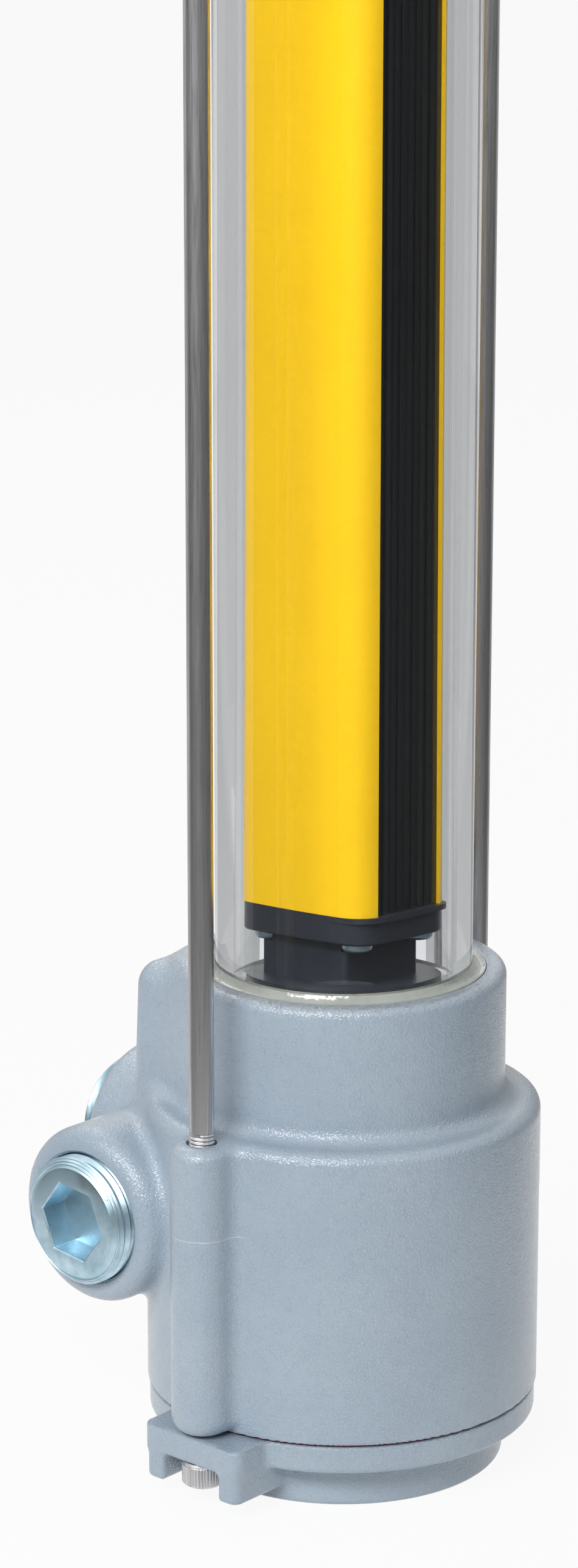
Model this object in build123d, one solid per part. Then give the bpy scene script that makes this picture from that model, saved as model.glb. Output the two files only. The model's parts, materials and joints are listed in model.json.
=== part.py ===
from build123d import *
import math
import os

os.makedirs("parts", exist_ok=True)

# A light curtain stick sealed in a glass tube on a cast terminal housing.
# Origin: tube axis, on the plane that the base cover stands on. Front is -Y, up is +Z.

# Base cover
step_setback = 6.95
flange_underside_z = 9.6
flange_setback = 0.4
cover_top_z = 15.3
cover_edge = 0.9
spigot_height = 6.0
spigot_wall = 4.0
spigot_clearance = 0.3
lug_half_width = 12.4
lug_overhang = 4.0
lug_foot_width = 5.0
lug_foot_z = 3.9
lug_corner = 2.0

# Gasket
gasket_thickness = 0.5
gasket_setback = 1.0

# Terminal housing
body_radius = 40.1
shoulder_z = 76.2
shoulder_edge = 1.6
body_wall = 6.1
roof_thickness = 6.2
collar_radius = 32.8
collar_height = 27.3
collar_edge = 1.8
collar_foot_share = 0.41
tube_floor = 3.8
wire_passage_radius = 14.0

# Ribs that take the rods from above and the cover screws from below
rib_standoff = 2.3
rib_radius = 6.3
rib_root = 3.0
rib_foot = 3.5
rib_eye_radius = 3.05
rib_eye_depth = 1.5

# Rear block with the fixing holes
block_half_width = 25.5
block_setback = 4.5
block_drop = 0.7
block_height = 51.8
block_corner = 4.0
block_edge = 5.0
block_draft_deg = 1.5
fixing_spacing = 34.0
fixing_drop = 12.8
fixing_depth = 10.0
fixing_radius = 2.5

# Cable entries, one towards -X and one towards +Y
entry_radius = 18.3
entry_edge = 3.9
entry_line_setback = 8.3
side_entry_z = 53.0
side_entry_reach = 2.8
rear_entry_z = 57.5
rear_entry_reach = 16.5
entry_mouth = 0.5
bore_break = 7.0
entry_saddle = 3.0
entry_root = 2.0

# Taper plugs in the entries
plug_mouth_radius = 13.3
plug_taper = 1 / 32
plug_length = 20.0
side_plug_proud = 3.94
rear_plug_proud = 5.7
plug_face_radius = 11.24
plug_chamfer = 1.6
plug_hex = 14.3
plug_hex_depth = 8.0
side_plug_turn_deg = -7.15
rear_plug_turn_deg = 19.0
plug_clearance = 0.1

# Machine screws and rods
thread_clearance = 0.05
m5_radius = 2.5
m5_head_radius = 4.25
m5_head_height = 5.0
m5_key = 4.0
m5_key_depth = 2.5
m5_hole_radius = 2.75
m5_head_edge = 0.45
rod_tip = 0.5
screw_end_gap = 0.5
pan_edge_share = 0.55
cover_screw_grip = 14.0
rod_grip = 11.0

# Glass tube
glass_radius = 26.0
glass_wall = 4.7

# Potting
collar_bore_radius = 28.7
potting_drop = 0.3
potting_climb = 1.2
potting_sag = 0.5
core_rim = 1.0
core_disc_gap = 0.1

# Holders that carry the stick inside the tube
holder_disc_radius = 19.0
holder_disc_rise = 1.0
holder_disc_thickness = 2.5
holder_neck_width = 22.0
holder_neck_depth = 21.8
holder_neck_shift = 0.9
holder_neck_corner = 1.2
holder_neck_height = 8.7

# Light curtain stick
stick_length = 300.0
stick_width = 27.8
stick_depth = 33.0
stick_front_corner = 6.0
stick_rear_corner = 4.0
stick_wall = 1.5
port_width = 5.4
port_depth = 6.0
port_x = 9.2
port_y = 11.2

# Optic window
window_width = 18.6
window_thickness = 1.8
window_setback = 1.05
window_rib_count = 9
window_rib_depth = 0.15
window_rib_fill = 0.75

# End caps of the stick and their screws
cap_thickness = 5.8
cap_lip = 1.0
cap_lip_thickness = 1.1
cap_inset = 0.2
cap_edge = 0.6
cap_screw_radius = 1.5
cap_screw_head = 2.9
cap_screw_head_height = 1.7
cap_screw_length = 14.0
cap_hole_radius = 1.7

# Optics inside the stick
beam_pitch = 20.0
beam_radius = 3.0
carrier_width = 11.4
carrier_depth = 8.0
carrier_gap = 0.2
board_width = 24.4
board_thickness = 1.6
end_gap = 3.0

# Top cap
cap_bore_depth = 23.5
cap_roof = 6.0
cap_wall_edge = 3.0
ear_thickness = 10.0
spigot_fit = 0.3
cap_spigot_bore = 15.0

# Rod nuts and washers
washer_radius = 5.0
washer_thickness = 1.0
nut_flats = 8.0
nut_height = 4.0
nut_corner_cut = 0.3
rod_proud = 3.0

# Terminal block
pole_pitch = 5.0
pole_count = 6
terminal_length = 38.0
terminal_width = 10.0
terminal_height = 14.0
terminal_setback = 12.0
terminal_end_step = 6.0
terminal_edge = 0.6
terminal_foot = 4.6
terminal_well = 7.0
terminal_wire_depth = 8.4
terminal_fit = 0.15
terminal_screw_head = 2.0
terminal_screw_height = 3.5
terminal_wire_radius = 1.3
block_screw_radius = 1.5
block_screw_head = 2.75
block_screw_head_height = 2.0
block_screw_grip = 4.5

# Earth screw in the housing's roof
earth_x = 23.0
earth_y = 6.0
earth_radius = 2.0
earth_head = 4.0
earth_head_height = 2.4
earth_grip = 5.0
slot_width = 0.9
slot_depth = 0.9

# Radii and reaches that follow from the body's radius
step_radius = body_radius - step_setback
flange_radius = body_radius - flange_setback
gasket_radius = body_radius - gasket_setback
chamber_radius = body_radius - body_wall
rod_offset = body_radius + rib_standoff
collar_foot = (body_radius - collar_radius) * collar_foot_share
lug_reach = rod_offset + lug_overhang
block_rear_y = body_radius - block_setback
side_entry_face = body_radius + side_entry_reach
rear_entry_face = body_radius + rear_entry_reach
entry_line_y = body_radius - entry_line_setback
terminal_y = terminal_setback - chamber_radius

# Heights and faces that follow from the sizes above
body_bottom_z = cover_top_z + gasket_thickness
chamber_roof_z = shoulder_z - roof_thickness
collar_top_z = shoulder_z + collar_height
tube_bottom_z = shoulder_z + tube_floor
glass_bore = glass_radius - glass_wall
block_top_z = collar_top_z - block_drop
block_bottom_z = block_top_z - block_height
fixing_z = block_top_z - fixing_drop
potting_outer_z = collar_top_z - potting_drop
potting_inner_z = potting_outer_z + potting_climb
holder_disc_top_z = collar_top_z + holder_disc_rise
disc_bottom_z = holder_disc_top_z - holder_disc_thickness
core_rim_z = holder_disc_top_z + core_rim
lower_cap_z = holder_disc_top_z + holder_neck_height
stick_bottom_z = lower_cap_z + cap_thickness
stick_top_z = stick_bottom_z + stick_length
upper_cap_z = stick_top_z + cap_thickness
upper_disc_z = upper_cap_z + holder_neck_height
cap_rim_z = upper_disc_z + holder_disc_rise
tube_top_z = cap_rim_z + cap_bore_depth
ear_top_z = tube_top_z
roof_top_z = tube_top_z + cap_roof
spigot_radius = chamber_radius - spigot_clearance
window_front_y = -stick_depth / 2 + window_setback
window_back_y = window_front_y + window_thickness
terminal_bottom_z = chamber_roof_z - terminal_height


def cylinder(radius, low, high):
    return Pos(0, 0, low) * extrude(Circle(radius), amount=high - low)


def ring(outer, inner, low, high):
    return Pos(0, 0, low) * extrude(Circle(outer) - Circle(inner), amount=high - low)


def slab(width, depth, low, high, corner):
    return Pos(0, 0, low) * extrude(RectangleRounded(width, depth, corner), amount=high - low)


def turned(outline):
    return revolve(make_face(outline), Axis.Z)


def quarter(start, centre_x, centre_z, end):
    # A quarter round from start to end about a centre, in the XZ half plane.
    radius = math.dist(start, (centre_x, centre_z))
    mid_x = (start[0] + end[0]) / 2 - centre_x
    mid_z = (start[1] + end[1]) / 2 - centre_z
    reach = radius / math.hypot(mid_x, mid_z)
    middle = (centre_x + mid_x * reach, 0, centre_z + mid_z * reach)
    return ThreePointArc((start[0], 0, start[1]), middle, (end[0], 0, end[1]))


def path(points):
    return Polyline([(x, 0, z) for x, z in points])


def along(origin, outward, across):
    # Work plane whose normal points outwards along an entry.
    return Plane(origin=origin, x_dir=across, z_dir=outward)


def side_entry_plane():
    return along((-side_entry_face, entry_line_y, side_entry_z), (-1, 0, 0), (0, 1, 0))


def rear_entry_plane():
    return along((0, rear_entry_face, rear_entry_z), (0, 1, 0), (1, 0, 0))


def both_sides(solid):
    return solid + mirror(solid, about=Plane.YZ)


# Terminal housing

def ribbed_section():
    section = Circle(body_radius) + Pos(rod_offset, 0) * Circle(rib_radius)
    section += Pos(-rod_offset, 0) * Circle(rib_radius)
    roots = [v for v in section.vertices() if abs(v.Y) > 1]
    return fillet(roots, rib_root)


def ribbed_body():
    height = shoulder_z - body_bottom_z
    body = Pos(0, 0, body_bottom_z) * extrude(ribbed_section(), amount=height)
    top_edges = body.faces().sort_by(Axis.Z)[-1].outer_wire().edges()
    body = fillet(top_edges, shoulder_edge)
    bottom_edges = body.faces().sort_by(Axis.Z)[0].outer_wire().edges()
    body = fillet(bottom_edges, rib_foot)
    return body + cylinder(body_radius, body_bottom_z, body_bottom_z + 2 * rib_foot)


def collar():
    foot_radius = collar_radius + collar_foot
    foot_z = shoulder_z + collar_foot
    edge_z = collar_top_z - collar_edge
    edge_radius = collar_radius - collar_edge
    base_z = shoulder_z - roof_thickness
    outline = path([(0, base_z), (foot_radius, base_z), (foot_radius, shoulder_z)])
    outline += quarter((foot_radius, shoulder_z), foot_radius, foot_z, (collar_radius, foot_z))
    outline += path([(collar_radius, foot_z), (collar_radius, edge_z)])
    outline += quarter((collar_radius, edge_z), edge_radius, edge_z, (edge_radius, collar_top_z))
    outline += path([(edge_radius, collar_top_z), (0, collar_top_z), (0, base_z)])
    return turned(outline)


def rear_block():
    depth = block_rear_y
    outline = Pos(0, depth / 2) * RectangleRounded(2 * block_half_width, depth, block_corner)
    height = block_top_z - block_bottom_z
    block = Pos(0, 0, block_bottom_z) * extrude(outline, amount=height, taper=block_draft_deg)
    top_edges = block.faces().sort_by(Axis.Z)[-1].outer_wire().edges()
    return fillet(top_edges, block_edge)


def entry_boss(length):
    # The face lies on the local plane z=0 and the boss runs inwards.
    boss = cylinder(entry_radius, -length, 0)
    return fillet(boss.edges().sort_by(Axis.Z)[-1], entry_edge)


def entries():
    # Both bosses, with a soft saddle where they cross.
    bosses = side_entry_plane() * entry_boss(side_entry_face)
    bosses += rear_entry_plane() * entry_boss(rear_entry_face)
    saddles = [e for e in bosses.edges() if e.geom_type == GeomType.BSPLINE]
    return fillet(saddles, entry_saddle)


def body_with_entries():
    body = ribbed_body() + entries()
    foot_z = body_bottom_z + 2 * rib_foot
    roots = []
    for edge in body.edges().filter_by(GeomType.BSPLINE):
        middle = edge.center()
        off_wall = abs(math.hypot(middle.X, middle.Y) - body_radius)
        if off_wall < entry_root and middle.Z > foot_z:
            roots.append(edge)
    return fillet(roots, entry_root)


def entry_bore(length):
    # Tapered bore with a small countersink at its mouth.
    mouth = plug_mouth_radius + plug_clearance
    end = mouth - length * plug_taper
    rim = mouth + entry_mouth
    outline = path([(0, 0), (rim, 0), (mouth, -entry_mouth), (end, -length), (0, -length), (0, 0)])
    return turned(outline)


def rib_holes():
    thread = m5_radius + thread_clearance
    screw_top = flange_underside_z + m5_head_height + cover_screw_grip
    lower = cylinder(thread, body_bottom_z - 1, screw_top)
    upper = cylinder(thread, shoulder_z - rod_grip, shoulder_z + 1)
    eye = cylinder(rib_eye_radius, shoulder_z - rib_eye_depth, shoulder_z + 1)
    return both_sides(Pos(rod_offset, 0, 0) * (lower + upper + eye))


def fixing_holes():
    holes = Part()
    for side in (-1, 1):
        mouth = along((side * fixing_spacing / 2, block_rear_y + 1, fixing_z), (0, 1, 0), (1, 0, 0))
        holes += mouth * cylinder(fixing_radius, -fixing_depth - 1, 0)
    return holes


def terminal_housing():
    housing = body_with_entries() + collar() + rear_block()
    housing -= cylinder(chamber_radius, body_bottom_z, chamber_roof_z)
    housing -= cylinder(collar_bore_radius, tube_bottom_z, collar_top_z)
    housing -= cylinder(wire_passage_radius, chamber_roof_z, tube_bottom_z)
    housing -= side_entry_plane() * entry_bore(side_entry_face)
    housing -= rear_entry_plane() * entry_bore(rear_entry_face - chamber_radius + bore_break)
    housing -= rib_holes()
    housing -= fixing_holes()
    for x in (-1, 1):
        housing -= Pos(x * block_screw_x(), terminal_y, 0) * roof_hole(block_screw_radius, block_screw_grip)
    housing -= Pos(earth_x, earth_y, 0) * roof_hole(earth_radius, earth_grip)
    return housing


def roof_hole(radius, grip):
    return cylinder(radius + thread_clearance, chamber_roof_z - 1, chamber_roof_z + grip)


# Base cover and what seals and holds it

def cover_lug():
    # A flat plate with a foot along each side, open in the middle for the screw head.
    on_low = (Align.MIN, Align.CENTER, Align.MIN)
    height = cover_top_z - flange_underside_z
    plate = Pos(0, 0, flange_underside_z) * Box(lug_reach, 2 * lug_half_width, height, align=on_low)
    foot_y = lug_half_width - lug_foot_width / 2
    foot = Box(lug_reach, lug_foot_width, cover_top_z - lug_foot_z, align=on_low)
    for side in (-1, 1):
        plate += Pos(0, side * foot_y, lug_foot_z) * foot
    outer = [edge for edge in plate.edges().filter_by(Axis.Z) if at_lug_corner(edge.center(), foot_y)]
    return fillet(outer, lug_corner)


def at_lug_corner(middle, foot_y):
    return middle.X > lug_reach - 1 and abs(middle.Y) > foot_y


def base_cover():
    disc = cylinder(flange_radius, flange_underside_z, cover_top_z)
    disc = fillet(disc.edges().sort_by(Axis.Z)[0], cover_edge)
    step = cylinder(step_radius, 0, cover_top_z)
    step = fillet(step.edges().sort_by(Axis.Z)[0], cover_edge)
    cover = disc + step + both_sides(cover_lug())
    cover += ring(spigot_radius, spigot_radius - spigot_wall, cover_top_z, cover_top_z + spigot_height)
    hole = cylinder(m5_hole_radius, 0, cover_top_z + 1)
    return cover - both_sides(Pos(rod_offset, 0, 0) * hole)


def cover_gasket():
    return ring(gasket_radius, chamber_radius, cover_top_z, body_bottom_z)


def socket_screw():
    # Head down, shank up, seat of the head on z=0.
    hexagon = RegularPolygon(m5_key / math.sqrt(3), 6)
    key = Pos(0, 0, -m5_head_height) * extrude(hexagon, amount=m5_key_depth)
    head = cylinder(m5_head_radius, -m5_head_height, 0)
    head = fillet(head.edges().sort_by(Axis.Z)[0], m5_head_edge)
    return head + cylinder(m5_radius, 0, cover_screw_grip) - key


def cover_screws():
    return both_sides(Pos(rod_offset, 0, flange_underside_z) * socket_screw())


def entry_plug(proud, turn_deg):
    # The thread starts at the entry's mouth, local z=0, and tapers inwards.
    inner_z = proud - plug_length
    inner_radius = plug_mouth_radius + inner_z * plug_taper
    chamfer_z = proud - plug_chamfer
    outline = path([(0, inner_z), (inner_radius, inner_z), (plug_mouth_radius, 0),
                    (plug_mouth_radius, chamfer_z), (plug_face_radius, proud), (0, proud), (0, inner_z)])
    key = extrude(RegularPolygon(plug_hex / math.sqrt(3), 6, rotation=turn_deg), amount=plug_hex_depth)
    return turned(outline) - Pos(0, 0, proud - plug_hex_depth) * key


# Glass tube, its potting and the rods

def glass_tube():
    return ring(glass_radius, glass_bore, tube_bottom_z, tube_top_z)


def lower_potting():
    # A sunken surface that climbs the glass.
    outline = path([(glass_radius, potting_inner_z), (glass_radius, tube_bottom_z),
                    (collar_bore_radius, tube_bottom_z), (collar_bore_radius, potting_outer_z)])
    middle_x = (glass_radius + collar_bore_radius) / 2
    middle_z = (potting_outer_z + potting_inner_z) / 2 - potting_sag
    outline += ThreePointArc((collar_bore_radius, 0, potting_outer_z),
                             (middle_x, 0, middle_z), (glass_radius, 0, potting_inner_z))
    return turned(outline)


def core_potting():
    # Fills the foot of the tube and rises in a rim round the holder's disc.
    rim_inner = holder_disc_radius + core_disc_gap
    outline = path([(0, tube_bottom_z), (glass_bore, tube_bottom_z), (glass_bore, core_rim_z),
                    (rim_inner, holder_disc_top_z), (rim_inner, disc_bottom_z), (0, disc_bottom_z),
                    (0, tube_bottom_z)])
    return turned(outline)


def upper_potting():
    return ring(collar_bore_radius, glass_radius, cap_rim_z, tube_top_z)


def tie_rod():
    low = shoulder_z - rod_grip
    high = ear_top_z + washer_thickness + nut_height + rod_proud
    rod = cylinder(m5_radius, low, high)
    return chamfer(rod.edges().filter_by(GeomType.CIRCLE), rod_tip)


def ear_eyes(radius, low, high):
    return both_sides(Pos(rod_offset, 0, 0) * cylinder(radius, low, high))


def top_cap():
    ear_low = ear_top_z - ear_thickness
    section = Circle(collar_radius)
    for side in (-1, 1):
        section += Pos(side * rod_offset / 2, 0) * Rectangle(rod_offset, 2 * rib_radius)
        section += Pos(side * rod_offset, 0) * Circle(rib_radius)
    roots = [v for v in section.vertices() if math.hypot(v.X, v.Y) < collar_radius + 1]
    ears = Pos(0, 0, ear_low) * extrude(fillet(roots, rib_root), amount=ear_thickness)
    ears = fillet(ears.faces().sort_by(Axis.Z)[0].outer_wire().edges(), cover_edge)
    ears = fillet(ears.faces().sort_by(Axis.Z)[-1].outer_wire().edges(), cover_edge)
    shell = cylinder(collar_radius, cap_rim_z, roof_top_z)
    shell = fillet(shell.edges().sort_by(Axis.Z)[-1], cap_wall_edge)
    cap = shell + ears - cylinder(collar_bore_radius, cap_rim_z, tube_top_z)
    seat_z = upper_disc_z + holder_disc_thickness
    cap += ring(glass_bore - spigot_fit, cap_spigot_bore, seat_z, tube_top_z)
    return cap - ear_eyes(m5_hole_radius, ear_low, ear_top_z)


def rod_washers():
    washer = ring(washer_radius, m5_hole_radius, ear_top_z, ear_top_z + washer_thickness)
    return both_sides(Pos(rod_offset, 0, 0) * washer)


def rod_nuts():
    low = ear_top_z + washer_thickness
    sides = Pos(0, 0, low) * extrude(RegularPolygon(nut_flats / math.sqrt(3), 6), amount=nut_height)
    corner = nut_flats / math.sqrt(3)
    cone = Pos(0, 0, low) * Cone(corner + nut_height, corner - nut_corner_cut, nut_height,
                                 align=(Align.CENTER, Align.CENTER, Align.MIN))
    nut = (sides & cone) - cylinder(m5_radius + thread_clearance, low, low + nut_height)
    return both_sides(Pos(rod_offset, 0, 0) * nut)


# Light curtain stick

def stick_section(inset):
    half_x = stick_width / 2 - inset
    half_y = stick_depth / 2 - inset
    section = Rectangle(2 * half_x, 2 * half_y)
    front = [v for v in section.vertices() if v.Y < 0]
    section = fillet(front, stick_front_corner - inset)
    rear = [v for v in section.vertices() if v.Y > half_y - 0.01]
    return fillet(rear, stick_rear_corner)


def four_corners(solid):
    corners = Part()
    for x in (-port_x, port_x):
        for y in (-port_y, port_y):
            corners += Pos(x, y, 0) * solid
    return corners


def curtain_profile():
    cavity_x = stick_width - 2 * stick_wall
    cavity_y = stick_depth - 2 * stick_wall
    cavity = Rectangle(cavity_x, cavity_y)
    for side_x in (-1, 1):
        for side_y in (-1, 1):
            x = side_x * (cavity_x - port_width) / 2
            y = side_y * (cavity_y - port_depth) / 2
            cavity -= Pos(x, y) * Rectangle(port_width, port_depth)
    rebate = Pos(0, window_back_y - window_thickness) * Rectangle(window_width, 2 * window_thickness)
    section = stick_section(0) - cavity - rebate
    profile = Pos(0, 0, stick_bottom_z) * extrude(section, amount=stick_length)
    thread = cap_screw_length - cap_thickness
    hole = cap_screw_radius + thread_clearance
    profile -= four_corners(cylinder(hole, stick_bottom_z, stick_bottom_z + thread))
    return profile - four_corners(cylinder(hole, stick_top_z - thread, stick_top_z))


def optic_window():
    # Plain strip with shallow grooves down its front.
    section = Pos(0, window_front_y + window_thickness / 2) * Rectangle(window_width, window_thickness)
    pitch = window_width / window_rib_count
    groove = Rectangle(pitch * (1 - window_rib_fill), 2 * window_rib_depth)
    for index in range(window_rib_count - 1):
        x = (index + 1) * pitch - window_width / 2
        section -= Pos(x, window_front_y) * groove
    return Pos(0, 0, stick_bottom_z) * extrude(section, amount=stick_length)


def lens_carrier():
    low = stick_bottom_z + end_gap
    front_y = window_back_y + carrier_gap
    length = stick_length - 2 * end_gap
    middle = Pos(0, front_y + carrier_depth / 2, low + length / 2)
    carrier = middle * Box(carrier_width, carrier_depth, length)
    beams = int((length - 2 * beam_radius) // beam_pitch)
    first = low + (length - (beams - 1) * beam_pitch) / 2
    for index in range(beams):
        plane = along((0, front_y, first + index * beam_pitch), (0, 1, 0), (1, 0, 0))
        carrier -= plane * cylinder(beam_radius, -1, carrier_depth + 1)
    return carrier


def circuit_board():
    low = stick_bottom_z + end_gap
    back_y = window_back_y + carrier_gap + carrier_depth
    length = stick_length - 2 * end_gap
    return Pos(0, back_y + board_thickness / 2, low + length / 2) * Box(board_width, board_thickness, length)


def end_cap():
    # Lies on local z=0 with the stick above it; the lip is at its top front.
    body = extrude(stick_section(cap_inset), amount=cap_thickness)
    body = fillet(body.faces().sort_by(Axis.Z)[0].outer_wire().edges(), cap_edge)
    lip = stick_section(0) & (Pos(0, -stick_depth / 2) * Rectangle(stick_width, stick_depth / 2))
    lip += Pos(0, -cap_lip) * lip
    body += Pos(0, 0, cap_thickness - cap_lip_thickness) * extrude(lip, amount=cap_lip_thickness)
    return body - four_corners(cylinder(cap_hole_radius, 0, cap_thickness))


def lower_end_cap():
    return Pos(0, 0, lower_cap_z) * end_cap()


def upper_end_cap():
    return Pos(0, 0, stick_top_z) * mirror(Pos(0, 0, -cap_thickness) * end_cap(), about=Plane.XY)


def pan_screw(radius, head_radius, head_height, length):
    # Head below local z=0 and shank above it, with a cross recess.
    head = cylinder(head_radius, -head_height, 0)
    head = fillet(head.edges().sort_by(Axis.Z)[0], head_height * pan_edge_share)
    screw = head + cylinder(radius, 0, length)
    recess = Pos(0, 0, -head_height) * Box(head_radius, slot_width, 2 * slot_depth)
    return screw - recess - Rot(0, 0, 90) * recess


def cap_screw():
    length = cap_screw_length - screw_end_gap
    return pan_screw(cap_screw_radius, cap_screw_head, cap_screw_head_height, length)


def lower_cap_screws():
    return four_corners(Pos(0, 0, lower_cap_z) * cap_screw())


def upper_cap_screws():
    return four_corners(Pos(0, 0, upper_cap_z) * Rot(180, 0, 0) * cap_screw())


def neck(low, high):
    block = slab(holder_neck_width, holder_neck_depth, low, high, holder_neck_corner)
    return Pos(0, holder_neck_shift, 0) * block


def head_pockets(low, high):
    # Room for the screw heads that stand on the cap beside the neck.
    return four_corners(cylinder(cap_screw_head + core_disc_gap, low, high))


def lower_holder():
    disc = cylinder(holder_disc_radius, disc_bottom_z, holder_disc_top_z)
    holder = disc + neck(holder_disc_top_z, lower_cap_z)
    return holder - head_pockets(lower_cap_z - cap_screw_head_height - core_disc_gap, lower_cap_z)


def upper_holder():
    disc_radius = glass_bore - spigot_fit
    disc = cylinder(disc_radius, upper_disc_z, upper_disc_z + holder_disc_thickness)
    holder = disc + neck(upper_cap_z, upper_disc_z)
    return holder - head_pockets(upper_cap_z, upper_cap_z + cap_screw_head_height + core_disc_gap)


# Terminals in the chamber

def block_screw_x():
    return terminal_length / 2 - terminal_end_step / 2


def terminal_block():
    middle_z = chamber_roof_z - terminal_height / 2
    block = Pos(0, terminal_y, middle_z) * Box(terminal_length, terminal_width, terminal_height)
    block = chamfer(block.edges().filter_by(Axis.X), terminal_edge)
    step_height = 2 * (terminal_height - terminal_foot)
    step = Pos(0, 0, terminal_bottom_z) * Box(terminal_end_step, terminal_width, step_height)
    hole = cylinder(block_screw_radius + terminal_fit, terminal_bottom_z, chamber_roof_z)
    for side in (-1, 1):
        block -= Pos(side * block_screw_x(), terminal_y, 0) * (step + hole)
    well_top = terminal_bottom_z + terminal_well
    wire_z = terminal_bottom_z + terminal_wire_depth
    well = cylinder(terminal_screw_head + terminal_fit, terminal_bottom_z, well_top)
    for x in pole_places():
        block -= Pos(x, terminal_y, 0) * well
        mouth = along((x, terminal_y, wire_z), (0, 1, 0), (1, 0, 0))
        block -= mouth * cylinder(terminal_wire_radius, -terminal_width, terminal_width)
    return block


def pole_places():
    first = -(pole_count - 1) / 2 * pole_pitch
    return [first + index * pole_pitch for index in range(pole_count)]


def terminal_screws():
    screws = Part()
    seat_z = terminal_bottom_z + terminal_well
    low = seat_z - terminal_screw_height
    head = cylinder(terminal_screw_head, low, seat_z)
    head -= Pos(0, 0, low) * Box(2 * terminal_screw_head, slot_width, slot_depth)
    for x in pole_places():
        screws += Pos(x, terminal_y, 0) * head
    return screws


def block_screws():
    foot_z = chamber_roof_z - terminal_foot
    length = terminal_foot + block_screw_grip - screw_end_gap
    screw = pan_screw(block_screw_radius, block_screw_head, block_screw_head_height, length)
    return both_sides(Pos(block_screw_x(), terminal_y, foot_z) * screw)


def earth_screw():
    screw = pan_screw(earth_radius, earth_head, earth_head_height, earth_grip - screw_end_gap)
    return Pos(earth_x, earth_y, chamber_roof_z) * screw


pieces = {
    "terminal_housing": terminal_housing(),
    "base_cover": base_cover(),
    "cover_gasket": cover_gasket(),
    "cover_screws": cover_screws(),
    "entry_plug_side": side_entry_plane() * entry_plug(side_plug_proud, side_plug_turn_deg),
    "entry_plug_rear": rear_entry_plane() * entry_plug(rear_plug_proud, rear_plug_turn_deg),
    "glass_tube": glass_tube(),
    "lower_potting": lower_potting(),
    "core_potting": core_potting(),
    "lower_holder": lower_holder(),
    "lower_end_cap": lower_end_cap(),
    "lower_cap_screws": lower_cap_screws(),
    "curtain_profile": curtain_profile(),
    "optic_window": optic_window(),
    "lens_carrier": lens_carrier(),
    "circuit_board": circuit_board(),
    "upper_end_cap": upper_end_cap(),
    "upper_cap_screws": upper_cap_screws(),
    "upper_holder": upper_holder(),
    "upper_potting": upper_potting(),
    "top_cap": top_cap(),
    "tie_rod_left": Pos(-rod_offset, 0, 0) * tie_rod(),
    "tie_rod_right": Pos(rod_offset, 0, 0) * tie_rod(),
    "rod_washers": rod_washers(),
    "rod_nuts": rod_nuts(),
    "terminal_block": terminal_block(),
    "terminal_screws": terminal_screws(),
    "block_screws": block_screws(),
    "earth_screw": earth_screw(),
}

for name, shape in pieces.items():
    export_step(shape, f"parts/{name}.step")
    print(name, round(shape.volume, 1))
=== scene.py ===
import bpy
import bmesh
import json
import math
import numpy as np
import openvdb as vdb
from mathutils import Matrix, Vector


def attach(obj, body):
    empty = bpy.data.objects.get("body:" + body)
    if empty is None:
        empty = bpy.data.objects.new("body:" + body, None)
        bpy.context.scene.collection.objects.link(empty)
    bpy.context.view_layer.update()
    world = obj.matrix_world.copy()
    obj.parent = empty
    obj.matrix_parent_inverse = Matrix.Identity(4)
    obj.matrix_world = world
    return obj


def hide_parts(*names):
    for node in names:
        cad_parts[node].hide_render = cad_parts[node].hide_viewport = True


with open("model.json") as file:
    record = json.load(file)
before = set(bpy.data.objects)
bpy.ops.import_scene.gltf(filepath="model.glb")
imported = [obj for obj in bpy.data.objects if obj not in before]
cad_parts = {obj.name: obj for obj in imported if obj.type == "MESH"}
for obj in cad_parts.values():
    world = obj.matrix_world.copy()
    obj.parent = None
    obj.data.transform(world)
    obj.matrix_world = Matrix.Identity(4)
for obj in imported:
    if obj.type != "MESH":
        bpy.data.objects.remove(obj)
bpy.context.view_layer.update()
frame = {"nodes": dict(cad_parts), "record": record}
scene = bpy.context.scene
nodes = frame["nodes"]
rodX = 42.4
print("frame loaded:", len(nodes), "nodes")


# Small helpers shared by every piece. Shapes are written in millimetres and meshes are stored in metres.

def srgb(red, green, blue):
    return tuple(linear(c / 255) for c in (red, green, blue)) + (1.0,)


def linear(value):
    return value / 12.92 if value <= 0.04045 else ((value + 0.055) / 1.055) ** 2.4


def mm(value):
    return value / 1000


def arc(centreR, centreZ, radius, start, end, steps):
    # Points of a round in the radius and height plane, angles in degrees.
    angles = [math.radians(start + (end - start) * i / steps) for i in range(steps + 1)]
    return [(centreR + radius * math.cos(a), centreZ + radius * math.sin(a)) for a in angles]


def along(origin, outward, across):
    # Places a turned shape so that its local Z runs outwards from the origin.
    up = Vector(outward)
    side = Vector(across)
    turn = Matrix((side, up.cross(side), up)).transposed().to_4x4()
    return Matrix.Translation(Vector(origin)) @ turn


def rodPlaces():
    # The axes that the tie rods, ribs, lugs and ears share.
    return [Matrix.Translation((side * rodX, 0, 0)) for side in (-1, 1)]


def newObject(name, mesh):
    piece = bpy.data.objects.new(name, mesh)
    scene.collection.objects.link(piece)
    return piece


def meshOf(name, points, faces):
    mesh = bpy.data.meshes.new(name)
    mesh.from_pydata([tuple(p) for p in points], [], [tuple(f) for f in faces])
    mesh.update()
    return mesh


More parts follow.
